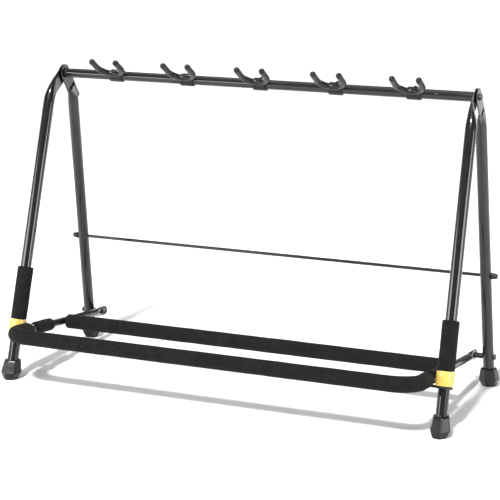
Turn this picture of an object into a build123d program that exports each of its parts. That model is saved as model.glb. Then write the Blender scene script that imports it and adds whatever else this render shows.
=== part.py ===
"""Folding rack that stands five guitars side by side.

Two A-shaped side frames carry a long top tube with five neck yokes. A bent base tube, padded with foam,
is hinged low on the rear legs and rests in cradles on the front legs. The rear legs swing on the bolts
at the ends of the top tube. Millimetres. +X runs along the top tube, +Y to the rear, +Z up, and the
origin is on the floor under the middle of the rack.
"""
from build123d import *
import os
from math import cos, radians, sin, tan

os.makedirs("parts", exist_ok=True)

# overall layout
top_height = 592.0         # axis of the top tube above the floor
top_y = 81.3               # axis of the top tube, behind the middle of the rack
foot_x = 446.0             # leg axis at the floor, each side of the middle
front_foot_y = -143.2      # front leg axis at the floor
rear_foot_y = 203.3        # rear leg axis at the floor
front_tilt = 17.2          # lower part of a front leg, degrees from upright
rear_tilt = 9.37           # lower part of a rear leg, degrees from upright
front_tip_tilt = 57.0      # direction of a front leg where it meets the top bolt
rear_tip_tilt = 37.0       # direction of a rear leg where it meets the top bolt
front_lean = 0.009         # sideways lean of the front legs, mm per mm of height
rear_lean = 0.020          # sideways lean of the rear legs

# tubes
leg_radius = 11.1
leg_wall = 1.3
top_radius = 9.5
bar_radius = 8.0
tube_wall = 1.2
snug = 0.05                # clearance of a piece pushed on a tube
running = 0.06             # clearance of a pin that turns in its hole
gap = 0.3                  # air between faces that move past each other

# flattened leg tops and their bolts
plate_thickness = 3.2
plate_radius = 17.0
plate_run = 38.0           # from the end of the bend to the bolt
neck_run = 22.0            # from the bolt to where the flat top starts to swell into the tube
neck_half_width = 15.4
shoulder_run = 28.0
shoulder_half_width = 10.0
crimp_step = 0.10          # the swelling is this much inside the tube where it meets the bend
inner_plate_x = 434.2      # middle of the plate nearer the top tube
outer_plate_x = inner_plate_x + plate_thickness + 1.4
bolt_radius = 3.0
bolt_head_radius = 6.5
bolt_head_height = 4.5
bolt_shank = 28.0
bolt_socket_radius = 2.6
bolt_socket_depth = 2.2
head_rounding = 1.8
washer_radius = 9.0
washer_thickness = 0.8
plug_flange = 4.6
plug_overhang = 0.4        # the plug's rim stands this much proud of the top tube
plug_depth = 22.0
top_half_length = inner_plate_x - plate_thickness / 2 - 0.6 - plug_flange

# feet
foot_height = 38.0
foot_step = 13.0           # height of the widest section
foot_radius_floor = 14.4
foot_radius_wide = 21.2
foot_radius_top = 16.4
socket_floor = 9.0         # bottom of the socket the leg stands in
leg_start = 9.2            # height of the tube's lower end inside the foot

# sleeves and collars on the front legs
sleeve_radius = 16.1
sleeve_low = 114.6
sleeve_high = {-1: 216.0, 1: 203.0}
collar_low = 88.0
collar_radius = 16.8
collar_gap = 0.4           # air between the collar and the sleeve above it
band_radius = 13.2
band_height = 27.0         # of the cradle's band, inside the collar
band_flange = 2.6          # the band's rim under the collar
band_flange_height = 4.6

# base tube, hinged low on the rear legs
hinge_height = 62.3
base_slope = 6.71          # degrees, the base rises towards the front
base_length = 401.1        # hinge to the front bar, along the slope
strut_x = 414.5
corner_radius = 46.0
foam_radius = 15.0
strut_foam_radius = 12.9
crossbar_distance = 168.6  # hinge to the crossbar
corner_foam_end = 318.4    # hinge to the end of the corner foam
strut_foam_span = (228.0, 290.7)
front_seam_x = 246.0
rear_seam_x = 136.0
flat_radius = 9.6
flat_thickness = 6.0
flat_tail = 12.0           # the flat end runs this far past the hinge bolt
flat_start = 16.0
flat_blend = 20.0

# cradles
cradle_distance = 307.0    # hinge to the middle of the cradle
cradle_width = 11.5
cradle_thickness = 2.6
cradle_clearance = 0.5
cradle_wall_top = 1.5      # top of the hook's walls above the strut's axis
cradle_arm_length = 22.0
cradle_arm_drop = 2.4
cradle_arm_thickness = 6.2
rivet_radius = 1.0
rivet_head_radius = 1.9
rivet_head_height = 1.0
rivet_length = 1.8
rivet_steps = (-3.0, 3.0)
rivet_drop = -4.5

# base hinge bolts
hinge_head_radius = 5.6
hinge_head_height = 4.0
nut_radius = 5.8
nut_thickness = 5.0
nut_collar_radius = 4.6
nut_collar_height = 2.6
hinge_bolt_end = 1.6       # the bolt stands this far out of its nut
spacer_radius = 5.4

# tie rod across the rear legs
rod_radius = 3.25
rod_height = 232.7
rod_cap_end = 465.0
rod_cap_radius = 6.8
rod_cap_taper = 9.0
rod_cap_wall = 3.0

# neck yokes
yoke_spacing = 157.0
yoke_rise = 31.5           # slope of the fork, degrees
fork_radius = 6.0
fork_bend = 26.2
tip_step = 0.02            # the rounded tips are this much inside the arms
fork_arm = 26.0
fork_seat_angle = 19.0     # where the fork crosses the tube, degrees above horizontal
fork_seat_distance = 17.4
clip_width = 28.0
clip_bore = 9.9
clip_radius = 12.6
clip_mouth_turn = -30      # the clip opens to the rear and below, degrees
screw_lift = 68.0          # direction of the clip's screw, degrees above the rear
screw_radius = 1.6
screw_head_radius = 3.4
screw_head_height = 2.2
screw_head_rounding = 0.9

sides = {"left": -1, "right": 1}
ends = (-1, 1)


def save(part, name):
    """Label a finished piece and write it."""
    part.label = name
    export_step(part, f"parts/{name}.step")


# ---------------------------------------------------------------- legs
class LegLine:
    """Centre line of one leg: a straight run, a bend, then a straight run to the top bolt."""

    def __init__(self, side, front):
        self.side = side
        self.front = front
        self.lean = front_lean if front else rear_lean
        self.foot_y = front_foot_y if front else rear_foot_y
        self.tilt = front_tilt if front else rear_tilt
        self.tip = front_tip_tilt if front else rear_tip_tilt
        self.way = 1 if front else -1          # the leg climbs towards +Y or towards -Y
        run = self.way * (top_y - self.foot_y)
        a, b = radians(self.tilt), radians(self.tip)
        top = top_height - plate_run * cos(b)
        across = run - plate_run * sin(b) - tan(a) * top
        self.bend = across / (cos(a) - cos(b) - tan(a) * (sin(b) - sin(a)))
        self.bend_height = top - self.bend * (sin(b) - sin(a))

    def plane(self):
        """The upright plane that holds the centre line: local X to the rear, local Y up."""
        leaning = (1, 0, self.side * self.lean)
        return Plane(origin=(self.side * foot_x, 0, 0), x_dir=(0, 1, 0), z_dir=leaning)

    def y(self, height):
        """Depth of the straight run at a height."""
        return self.foot_y + self.way * tan(radians(self.tilt)) * height

    def point(self, height):
        """A point of the straight run."""
        return Vector(self.side * (foot_x - self.lean * height), self.y(height), height)

    def axis(self):
        """Direction of the straight run, upwards."""
        return (self.point(100) - self.point(0)).normalized()

    def section(self, height):
        """Plane square to the straight run, local X along the top tube."""
        return Plane(origin=self.point(height), x_dir=(1, 0, 0), z_dir=self.axis())

    def tip_axis(self):
        """Direction of the last run, towards the bolt."""
        b = radians(self.tip)
        return Vector(0, self.way * sin(b), cos(b))

    def plate_x(self):
        """Middle of the flattened top. On the left the front leg is outermost, on the right the rear leg."""
        outer = self.front == (self.side < 0)
        return self.side * (outer_plate_x if outer else inner_plate_x)


def bolt_place(x, y, z):
    """A location whose local Z runs along +X, for holes and pins."""
    return Plane(origin=(x, y, z), x_dir=(0, 1, 0), z_dir=(1, 0, 0)).location


def make_leg(leg, cross_holes):
    """A tube leg with a flattened top, and holes for what passes through it along X."""
    bolt = Vector(leg.plate_x(), top_y, top_height)
    neck = bolt - leg.tip_axis() * neck_run
    outline = (
        (0, plate_radius),
        (neck_run - 2, neck_half_width),
        (shoulder_run, shoulder_half_width),
        (shoulder_run, -shoulder_half_width),
        (neck_run - 2, -neck_half_width),
        (0, -plate_radius),
    )
    with BuildPart() as body:
        with BuildLine(leg.plane()) as path:
            lower = Line((leg.y(leg_start), leg_start), (leg.y(leg.bend_height), leg.bend_height))
            arc = JernArc(lower @ 1, lower % 1, leg.bend, -leg.way * (leg.tip - leg.tilt))
        bend_end = arc @ 1
        with BuildSketch(leg.section(leg_start)):
            Circle(leg_radius)
            Circle(leg_radius - leg_wall, mode=Mode.SUBTRACT)
        sweep(path=path.wires()[0])
        with BuildSketch(Plane(origin=bend_end, x_dir=(1, 0, 0), z_dir=arc % 1)):
            Circle(leg_radius - crimp_step)
        with BuildSketch(Plane(origin=neck, x_dir=(1, 0, 0), z_dir=leg.tip_axis())):
            Ellipse(plate_thickness * 0.56, neck_half_width)
        loft()
        plate_start = (bolt.X - plate_thickness / 2, top_y, top_height)
        with BuildSketch(Plane(origin=plate_start, x_dir=-leg.tip_axis(), z_dir=(1, 0, 0))):
            Circle(plate_radius)
            Polygon(*outline, align=None)
        extrude(amount=plate_thickness)
        with Locations(bolt_place(bolt.X, top_y, top_height)):
            Cylinder(bolt_radius + running, 3 * plate_thickness, mode=Mode.SUBTRACT)
        for height, radius in cross_holes:
            with Locations(bolt_place(leg.side * foot_x, leg.y(height), height)):
                Cylinder(radius + running, 4 * leg_radius, mode=Mode.SUBTRACT)
    return body.part


legs = {
    (name, kind): LegLine(side, kind == "front")
    for name, side in sides.items()
    for kind in ("front", "rear")
}
for (name, kind), leg in legs.items():
    holes = [] if kind == "front" else [(hinge_height, bolt_radius), (rod_height, rod_radius)]
    save(make_leg(leg, holes), f"{kind}_leg_{name}")


# ---------------------------------------------------------------- feet
def make_foot(leg, turn):
    """A six-sided rubber cap on the end of a leg."""
    levels = ((0, foot_radius_floor), (foot_step, foot_radius_wide), (foot_height, foot_radius_top))
    with BuildPart() as body:
        for (low, low_radius), (high, high_radius) in zip(levels, levels[1:]):
            for height, radius in ((low, low_radius), (high, high_radius)):
                with BuildSketch(Plane(origin=leg.point(height))):
                    RegularPolygon(radius, 6, rotation=turn)
            loft()
        with BuildSketch(leg.section(socket_floor)):
            Circle(leg_radius + snug)
        extrude(amount=2 * foot_height, mode=Mode.SUBTRACT)
    return body.part


foot_turns = {("left", "front"): 20, ("right", "front"): -10, ("left", "rear"): 8, ("right", "rear"): 23}
for (name, kind), leg in legs.items():
    save(make_foot(leg, foot_turns[(name, kind)]), f"{kind}_foot_{name}")


# ---------------------------------------------------------------- top tube
with BuildPart() as top_tube:
    with BuildSketch(Plane(origin=(-top_half_length, top_y, top_height), x_dir=(0, 1, 0), z_dir=(1, 0, 0))):
        Circle(top_radius)
        Circle(top_radius - tube_wall, mode=Mode.SUBTRACT)
    extrude(amount=2 * top_half_length)
save(top_tube.part, "top_tube")

with BuildPart() as top_tube_plugs:
    for end in ends:
        tube_end = (end * top_half_length, top_y, top_height)
        outward = Plane(origin=tube_end, x_dir=(0, 1, 0), z_dir=(end, 0, 0))
        with BuildSketch(outward.offset(gap / 6)):
            Circle(top_radius + plug_overhang)
            Circle(bolt_radius + snug, mode=Mode.SUBTRACT)
        extrude(amount=plug_flange)
        with BuildSketch(outward.offset(gap / 6)):
            Circle(top_radius - tube_wall - snug)
            Circle(bolt_radius + snug, mode=Mode.SUBTRACT)
        extrude(amount=-plug_depth)
save(top_tube_plugs.part, "top_tube_plugs")

with BuildPart() as pivot_bolts:
    for end in ends:
        head_plane = Plane(
            origin=(end * (outer_plate_x + plate_thickness / 2 + gap), top_y, top_height),
            x_dir=(0, 1, 0),
            z_dir=(end, 0, 0),
        )
        with BuildSketch(head_plane):
            Circle(bolt_head_radius)
        extrude(amount=bolt_head_height)
        with BuildSketch(head_plane):
            Circle(bolt_radius)
        extrude(amount=-bolt_shank)
        with BuildSketch(head_plane.offset(bolt_head_height)):
            RegularPolygon(bolt_socket_radius, 6)
        extrude(amount=-bolt_socket_depth, mode=Mode.SUBTRACT)
    circles = pivot_bolts.edges().filter_by(GeomType.CIRCLE)
    outer_edges = circles.filter_by(lambda e: e.radius > bolt_head_radius - snug)
    fillet(outer_edges.group_by(lambda e: abs(e.center().X))[-1], radius=head_rounding)
save(pivot_bolts.part, "pivot_bolts")

with BuildPart() as pivot_washers:
    for end in ends:
        washer_x = end * (inner_plate_x + plate_thickness / 2 + gap)
        with BuildSketch(Plane(origin=(washer_x, top_y, top_height), x_dir=(0, 1, 0), z_dir=(end, 0, 0))):
            Circle(washer_radius)
            Circle(bolt_radius + snug, mode=Mode.SUBTRACT)
        extrude(amount=washer_thickness)
save(pivot_washers.part, "pivot_washers")


# ---------------------------------------------------------------- sleeves, collars and cradles
def tube_on_leg(leg, low, high, inner, outer):
    """A straight sleeve round a leg, between two heights."""
    with BuildPart() as body:
        with BuildSketch(leg.section(low)):
            Circle(outer)
            Circle(inner, mode=Mode.SUBTRACT)
        extrude(amount=(leg.point(high) - leg.point(low)).length)
    return body.part


hinge_y = legs[("left", "rear")].y(hinge_height)
base_plane = Plane(
    origin=(0, hinge_y, hinge_height),
    x_dir=(1, 0, 0),
    z_dir=(0, sin(radians(base_slope)), cos(radians(base_slope))),
)


def base_point(x, distance, up=0.0):
    """A point of the base frame: distance from the hinge towards the front, and height off its plane."""
    return base_plane.from_local_coords(Vector(x, -distance, up))


def across_base(x, distance):
    """Plane square to a strut and facing the front, local X along the top tube."""
    return Plane(origin=base_point(x, distance), x_dir=(1, 0, 0), z_dir=-base_plane.y_dir)


def make_cradle(leg):
    """A band inside and under the collar, with a hook that holds up the strut."""
    reach = bar_radius + cradle_clearance
    outer = reach + cradle_thickness
    seat = across_base(leg.side * strut_x, cradle_distance - cradle_width / 2)
    with BuildPart() as body:
        with BuildSketch(seat):
            Circle(outer)
            with Locations((0, outer + cradle_wall_top)):
                Rectangle(4 * outer, 2 * outer, mode=Mode.SUBTRACT)
            with Locations((leg.side * cradle_arm_length / 2, -outer - cradle_arm_drop)):
                Rectangle(cradle_arm_length, cradle_arm_thickness)
            Circle(reach, mode=Mode.SUBTRACT)
        extrude(amount=cradle_width)
        with BuildSketch(leg.section(collar_low - gap)):
            Circle(collar_radius + gap)
        extrude(amount=3 * collar_radius, mode=Mode.SUBTRACT)
        with BuildSketch(leg.section(collar_low - gap)):
            Circle(band_radius)
        extrude(amount=band_height)
        with BuildSketch(leg.section(collar_low - gap)):
            Circle(band_radius + band_flange)
        extrude(amount=-band_flange_height)
        with BuildSketch(leg.section(collar_low - 2 * band_flange_height)):
            Circle(leg_radius + snug)
        extrude(amount=4 * band_height, mode=Mode.SUBTRACT)
        for step in rivet_steps:
            with Locations(rivet_place(leg.side, step)):
                Cylinder(rivet_radius + snug, 2 * cradle_thickness, mode=Mode.SUBTRACT)
    return body.part


def rivet_place(side, step):
    """A spot on the hook's inner wall, local Z pointing to the middle of the rack."""
    inner_face = side * (strut_x - bar_radius - cradle_clearance - cradle_thickness)
    origin = base_point(inner_face, cradle_distance + step, rivet_drop)
    return Plane(origin=origin, x_dir=(0, 1, 0), z_dir=(-side, 0, 0)).location


for name, side in sides.items():
    leg = legs[(name, "front")]
    sleeve = tube_on_leg(leg, sleeve_low, sleeve_high[side], leg_radius + snug, sleeve_radius)
    save(sleeve, f"leg_sleeve_{name}")
    collar = tube_on_leg(leg, collar_low, sleeve_low - collar_gap, band_radius + snug, collar_radius)
    save(collar, f"collar_{name}")
    save(make_cradle(leg), f"cradle_{name}")

with BuildPart() as cradle_rivets:
    for side in ends:
        for step in rivet_steps:
            head = Plane(rivet_place(side, step)).offset(snug)
            with BuildSketch(head):
                Circle(rivet_head_radius)
            extrude(amount=rivet_head_height, taper=25)
            with BuildSketch(head):
                Circle(rivet_radius)
            extrude(amount=-rivet_length)
save(cradle_rivets.part, "cradle_rivets")


# ---------------------------------------------------------------- base frame
def base_path(*points):
    """A route in the base plane with rounded corners."""
    return FilletPolyline(*points, radius=corner_radius)


with BuildPart() as base_tube:
    with BuildLine(base_plane) as route:
        base_path(
            (-strut_x, -flat_start - flat_blend),
            (-strut_x, -base_length),
            (strut_x, -base_length),
            (strut_x, -flat_start - flat_blend),
        )
    with BuildSketch(Plane(origin=route.wires()[0] @ 0, x_dir=(1, 0, 0), z_dir=route.wires()[0] % 0)):
        Circle(bar_radius)
        Circle(bar_radius - tube_wall, mode=Mode.SUBTRACT)
    sweep(path=route.wires()[0])
    for end in ends:
        with BuildSketch(across_base(end * strut_x, flat_start + flat_blend)):
            Circle(bar_radius)
        with BuildSketch(across_base(end * strut_x, flat_start * 0.55)):
            Ellipse(flat_thickness * 0.56, flat_radius)
        loft()
        flat_side = base_point(end * strut_x - flat_thickness / 2, 0)
        with BuildSketch(Plane(origin=flat_side, x_dir=-base_plane.y_dir, z_dir=(1, 0, 0))):
            SlotCenterPoint((0, 0), (flat_tail, 0), 2 * flat_radius)
        extrude(amount=flat_thickness)
        with Locations(bolt_place(end * strut_x, hinge_y, hinge_height)):
            Cylinder(bolt_radius + running, 4 * flat_thickness, mode=Mode.SUBTRACT)
save(base_tube.part, "base_tube")

bar_end = strut_x - bar_radius - snug
with BuildPart() as crossbar:
    bar_start = base_point(-bar_end, crossbar_distance)
    with BuildSketch(Plane(origin=bar_start, x_dir=(0, 1, 0), z_dir=(1, 0, 0))):
        Circle(bar_radius)
        Circle(bar_radius - tube_wall, mode=Mode.SUBTRACT)
    extrude(amount=2 * bar_end)
save(crossbar.part, "crossbar")


def straight_foam(start_x, end_x, distance):
    """A foam tube on a bar that runs along X."""
    with BuildPart() as body:
        with BuildSketch(Plane(origin=base_point(start_x, distance), x_dir=(0, 1, 0), z_dir=(1, 0, 0))):
            Circle(foam_radius)
            Circle(bar_radius + snug, mode=Mode.SUBTRACT)
        extrude(amount=end_x - start_x)
    return body.part


def corner_foam(end):
    """A foam tube that follows the base tube round a corner."""
    with BuildPart() as body:
        with BuildLine(base_plane) as route:
            base_path(
                (end * strut_x, -corner_foam_end),
                (end * strut_x, -base_length),
                (end * (front_seam_x + gap), -base_length),
            )
        with BuildSketch(Plane(origin=route.wires()[0] @ 0, x_dir=(1, 0, 0), z_dir=route.wires()[0] % 0)):
            Circle(foam_radius)
            Circle(bar_radius + snug, mode=Mode.SUBTRACT)
        sweep(path=route.wires()[0])
    return body.part


save(corner_foam(-1), "front_foam_1")
save(straight_foam(-front_seam_x, -gap / 2, base_length), "front_foam_2")
save(straight_foam(gap / 2, front_seam_x, base_length), "front_foam_3")
save(corner_foam(1), "front_foam_4")

rear_foam_end = bar_end - 0.6
rear_foam_spans = (
    (-rear_foam_end, -rear_seam_x - gap),
    (-rear_seam_x, rear_seam_x),
    (rear_seam_x + gap, rear_foam_end),
)
for number, (start_x, end_x) in enumerate(rear_foam_spans, start=1):
    save(straight_foam(start_x, end_x, crossbar_distance), f"rear_foam_{number}")

for name, side in sides.items():
    with BuildPart() as strut_foam:
        with BuildSketch(across_base(side * strut_x, strut_foam_span[0])):
            Circle(strut_foam_radius)
            Circle(bar_radius + snug, mode=Mode.SUBTRACT)
        extrude(amount=strut_foam_span[1] - strut_foam_span[0])
    save(strut_foam.part, f"strut_foam_{name}")


# ---------------------------------------------------------------- base hinge, on the rear legs
leg_at_hinge = abs(legs[("left", "rear")].point(hinge_height).X)
hinge_head_x = leg_at_hinge + leg_radius + 0.4
hinge_nut_x = strut_x - flat_thickness / 2 - gap


def along_x(x, end, y=hinge_y, z=hinge_height):
    """Plane square to X at one end of the rack, facing outwards."""
    return Plane(origin=(end * x, y, z), x_dir=(0, 1, 0), z_dir=(end, 0, 0))


bolt_end_x = hinge_nut_x - nut_thickness - nut_collar_height - hinge_bolt_end
with BuildPart() as hinge_bolts:
    for end in ends:
        with BuildSketch(along_x(hinge_head_x, end)):
            Circle(hinge_head_radius)
        extrude(amount=hinge_head_height)
        with BuildSketch(along_x(bolt_end_x, end)):
            Circle(bolt_radius)
        extrude(amount=hinge_head_x - bolt_end_x)
    heads = hinge_bolts.edges().filter_by(GeomType.CIRCLE).group_by(lambda e: abs(e.center().X))[-1]
    fillet(heads, radius=head_rounding)
save(hinge_bolts.part, "hinge_bolts")

with BuildPart() as hinge_nuts:
    for end in ends:
        with BuildSketch(along_x(hinge_nut_x, end)):
            RegularPolygon(nut_radius, 6)
            Circle(bolt_radius + snug, mode=Mode.SUBTRACT)
        extrude(amount=-nut_thickness)
        with BuildSketch(along_x(hinge_nut_x - nut_thickness, end)):
            Circle(nut_collar_radius)
            Circle(bolt_radius + snug, mode=Mode.SUBTRACT)
        extrude(amount=-nut_collar_height)
save(hinge_nuts.part, "hinge_nuts")

with BuildPart() as hinge_spacers:
    for end in ends:
        spacer_start = strut_x + flat_thickness / 2 + gap
        with BuildSketch(along_x(spacer_start, end)):
            Circle(spacer_radius)
            Circle(bolt_radius + snug, mode=Mode.SUBTRACT)
        extrude(amount=leg_at_hinge - leg_radius - 0.5 - spacer_start)
save(hinge_spacers.part, "hinge_spacers")

# ---------------------------------------------------------------- tie rod
rod_y = legs[("left", "rear")].y(rod_height)
leg_at_rod = abs(legs[("left", "rear")].point(rod_height).X)
cap_start = leg_at_rod + leg_radius + 0.4
rod_end = rod_cap_end - rod_cap_wall

with BuildPart() as tie_rod:
    with BuildSketch(along_x(rod_end, -1, rod_y, rod_height)):
        Circle(rod_radius)
    extrude(amount=-2 * rod_end)
save(tie_rod.part, "tie_rod")

with BuildPart() as tie_rod_caps:
    for end in ends:
        with BuildSketch(along_x(cap_start, end, rod_y, rod_height)):
            Circle(rod_cap_radius)
        extrude(amount=rod_cap_end - cap_start, taper=rod_cap_taper)
        with BuildSketch(along_x(cap_start, end, rod_y, rod_height)):
            Circle(rod_radius + snug)
        extrude(amount=rod_end - cap_start + snug, mode=Mode.SUBTRACT)
save(tie_rod_caps.part, "tie_rod_caps")


# ---------------------------------------------------------------- neck yokes
screw_direction = Vector(0, cos(radians(screw_lift)), sin(radians(screw_lift)))
screw_seat = Plane(
    origin=Vector(0, top_y, top_height) + screw_direction * clip_radius,
    x_dir=(1, 0, 0),
    z_dir=screw_direction,
)

seat, rise = radians(fork_seat_angle), radians(yoke_rise)
fork_plane = Plane(
    origin=(0, top_y - fork_seat_distance * cos(seat), top_height + fork_seat_distance * sin(seat)),
    x_dir=(1, 0, 0),
    z_dir=(0, -sin(rise), -cos(rise)),
)

with BuildPart() as fork:
    with BuildLine(fork_plane) as fork_path:
        Line((-fork_bend, fork_bend + fork_arm), (-fork_bend, fork_bend))
        ThreePointArc((-fork_bend, fork_bend), (0, 0), (fork_bend, fork_bend))
        Line((fork_bend, fork_bend), (fork_bend, fork_bend + fork_arm))
    fork_wire = fork_path.wires()[0]
    with BuildSketch(Plane(origin=fork_wire @ 0, z_dir=fork_wire % 0)):
        Circle(fork_radius)
    sweep(path=fork_wire)
    with Locations(fork_wire @ 0, fork_wire @ 1):
        Sphere(fork_radius - tip_step)
    with BuildSketch(Plane(origin=(-clip_width / 2, top_y, top_height), x_dir=(0, 1, 0), z_dir=(1, 0, 0))):
        Circle(clip_radius)
    extrude(amount=clip_width)
    with BuildSketch(Plane(origin=(-clip_width, top_y, top_height), x_dir=(0, 1, 0), z_dir=(1, 0, 0))):
        Circle(clip_bore)
        with Locations((0.8 * clip_radius, -0.55 * clip_radius)):
            Rectangle(clip_radius, 1.1 * clip_radius, rotation=clip_mouth_turn)
    extrude(amount=2 * clip_width, mode=Mode.SUBTRACT)
    with BuildSketch(screw_seat):
        Circle(screw_radius + snug)
    extrude(amount=-clip_radius / 2, mode=Mode.SUBTRACT)

with BuildPart() as screw:
    with BuildSketch(screw_seat.offset(snug)):
        Circle(screw_head_radius)
    extrude(amount=screw_head_height)
    with BuildSketch(screw_seat.offset(snug)):
        Circle(screw_radius)
    extrude(amount=clip_bore - clip_radius + snug)
    rims = screw.edges().filter_by(GeomType.CIRCLE).filter_by(lambda e: e.radius > screw_head_radius - snug)
    fillet(rims.sort_by(Axis(screw_seat.origin, screw_direction))[-1], radius=screw_head_rounding)

for number in range(1, 6):
    place = Pos((number - 3) * yoke_spacing, 0, 0)
    save(place * fork.part, f"yoke_{number}")
    save(place * screw.part, f"yoke_screw_{number}")
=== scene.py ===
"""Looks of the folding guitar rack: painted tube, foam, rubber yokes and feet, and a white studio."""
from math import ceil, copysign, cos, pi, radians, sin, tan

import bmesh
import bpy
from mathutils import Matrix, Vector, noise


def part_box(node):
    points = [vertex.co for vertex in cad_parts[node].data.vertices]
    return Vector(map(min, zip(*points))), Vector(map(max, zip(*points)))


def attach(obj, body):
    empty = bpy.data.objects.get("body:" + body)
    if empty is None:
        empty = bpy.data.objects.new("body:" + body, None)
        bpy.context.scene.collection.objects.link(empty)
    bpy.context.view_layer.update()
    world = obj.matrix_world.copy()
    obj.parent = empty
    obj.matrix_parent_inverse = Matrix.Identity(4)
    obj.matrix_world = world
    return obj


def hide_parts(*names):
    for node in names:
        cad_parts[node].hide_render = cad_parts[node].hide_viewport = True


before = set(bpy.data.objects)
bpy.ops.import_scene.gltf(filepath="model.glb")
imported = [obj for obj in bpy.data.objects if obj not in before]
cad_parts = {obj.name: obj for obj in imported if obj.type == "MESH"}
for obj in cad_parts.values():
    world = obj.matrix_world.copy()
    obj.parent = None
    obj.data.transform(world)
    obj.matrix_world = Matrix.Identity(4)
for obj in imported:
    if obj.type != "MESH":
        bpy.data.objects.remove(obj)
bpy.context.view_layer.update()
MM = 0.001
ENDS = {"left": -1, "right": 1}


def middle(node):
    """Centre of a node's box, in millimetres."""
    low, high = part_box(node)
    return (low + high) / 2 / MM


# ------------------------------------------------------------------ sizes, in millimetres
TOP = middle("top_tube")                     # the top tube's axis
HINGE = middle("hinge_bolts")                # the base frame's hinge axis
ROD = middle("tie_rod")
FOOT_X = 446.0
FRONT = {"foot_y": -143.2, "tilt": 17.2, "tip": 57.0, "lean": 0.009, "way": 1}
REAR = {"foot_y": 203.3, "tilt": 9.37, "tip": 37.0, "lean": 0.020, "way": -1}
LEG_R, BAR_R, TOP_R = 11.1, 8.0, 9.5
PLATE_RUN, NECK_RUN, PLATE_R, PLATE_HALF = 38.0, 22.0, 17.0, 1.6
INNER_PLATE_X, OUTER_PLATE_X = 434.2, 438.8
BASE_SLOPE = radians(6.71)
STRUT_X, CORNER_R, BASE_LENGTH = 414.5, 46.0, 401.1
FOAM_R, STRUT_FOAM_R, SLEEVE_R = 15.0, 12.9, 16.1
COLLAR_LOW, COLLAR_R, BAND_R = 88.0, 16.8, 13.2
CRIMP_RUN = 74.0                             # a leg starts to flatten this far from its top bolt
FLAT_TAIL = 12.0                             # a strut's flat end runs this far past the hinge bolt
CRADLE_DISTANCE, CRADLE_WIDTH = 307.0, 11.5
LEG_START, LEG_WALL = 9.3, 1.3
SLEEVE_LOW, SLEEVE_HIGH = 114.6, {-1: 216.0, 1: 203.0}
COLLAR_HIGH = 114.2
FOAM_INSET, FOAM_GAP = 0.15, 0.2             # a foam's skin and ends stay this far inside its sleeve's box
WOBBLE_SIZE = 38.0                           # length of the unevenness of a foam's skin
CORNER_FOAM_END, STRUT_FOAM_SPAN = 318.6, (228.2, 290.5)
HOOK_R, HOOK_WALL, HOOK_SIDE = 9.8, 2.5, 11.1
FLANGE_TALL = 4.6                            # the cradle's rim under the collar
RIVET_STEPS, RIVET_DROP = (-3.0, 3.0), 4.5
PLUG_FLANGE, PLUG_DEPTH, PLUG_R = 4.5, 18.0, 6.5
PIN_R, HINGE_PIN_R, PIVOT_SHANK = 2.98, 2.97, 28.0
NUT_AND_END, SPACER_R, ROD_R = 9.2, 5.4, 3.25
FLAT_HALF, FLAT_R = 3.0, 9.6                 # a strut's flat end
FLAT_RUN, FLAT_BLEND, FLAT_ZONE = 8.0, 27.0, 42
STRUT_STRIDE, BAR_STEP = 8, 12               # spacing of the sections on the straight stretches


# ------------------------------------------------------------------ mesh helpers
def piece(name, bm, body, nodes, material, sharp=None):
    """Turn a bmesh built in millimetres into a shown piece that stands for CAD nodes."""
    bmesh.ops.recalc_face_normals(bm, faces=bm.faces)
    bmesh.ops.scale(bm, vec=Vector((MM, MM, MM)), verts=bm.verts)
    mesh = bpy.data.meshes.new(name)
    bm.to_mesh(mesh)
    bm.free()
    obj = bpy.data.objects.new(name, mesh)
    bpy.context.scene.collection.objects.link(obj)
    mesh.materials.append(material)
    mesh.shade_smooth()
    if sharp:
        mesh.set_sharp_from_angle(angle=radians(sharp))
    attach(obj, body)
    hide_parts(*nodes)
    return obj


def skin(bm, rings, caps=(True, True)):
    """Join rings of points, in order, into a surface."""
    layers = [[bm.verts.new(p) for p in ring] for ring in rings]
    count = len(layers[0])
    for lower, upper in zip(layers, layers[1:]):
        for k in range(count):
            n = (k + 1) % count
            bm.faces.new((lower[k], lower[n], upper[n], upper[k]))
    if caps[0]:
        bm.faces.new(list(reversed(layers[0])))
    if caps[1]:
        bm.faces.new(layers[-1])


def route(points, radius=0.0, step=8.0, arc_step=3.0):
    """Places along a line with rounded corners: (position, direction)."""
    points = [Vector(p) for p in points]
    legs = []
    start = points[0]
    for before, corner, after in zip(points, points[1:], points[2:]):
        a, b = (before - corner).normalized(), (after - corner).normalized()
        turn = pi - a.angle(b)
        reach = radius * tan(turn / 2)
        legs.append(("line", start, corner + a * reach))
        legs.append(("arc", corner + a * reach, corner, corner + b * reach, turn))
        start = corner + b * reach
    legs.append(("line", start, points[-1]))
    out = []
    for leg in legs:
        if leg[0] == "line":
            span = leg[2] - leg[1]
            parts = max(1, ceil(span.length / step))
            out += [(leg[1] + span * k / parts, span.normalized()) for k in range(parts)]
            last = (leg[2], span.normalized())
        else:
            _, enter, corner, leave, turn = leg
            a, b = (corner - enter).normalized(), (leave - corner).normalized()
            inward = (b - a * a.dot(b)).normalized()
            centre = enter + inward * radius
            parts = max(2, ceil(radius * turn / arc_step))
            for k in range(parts):
                t = turn * k / parts
                spot = centre + a * radius * sin(t) - inward * radius * cos(t)
                out.append((spot, a * cos(t) + inward * sin(t)))
    return out + [last]


def smooth(t):
    t = min(max(t, 0.0), 1.0)
    return t * t * (3 - 2 * t)


def mix(a, b, t):
    return a + (b - a) * t


def section(half_a, half_b, power=1.0, count=48):
    """Points round a section that goes from round, power 1, to a flat bar with rounded edges."""
    out = []
    for k in range(count):
        t = 2 * pi * (k + 0.5) / count
        c, s = cos(t), sin(t)
        out.append((half_a * copysign(abs(c) ** power, c), half_b * copysign(abs(s) ** power, s)))
    return out


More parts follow.
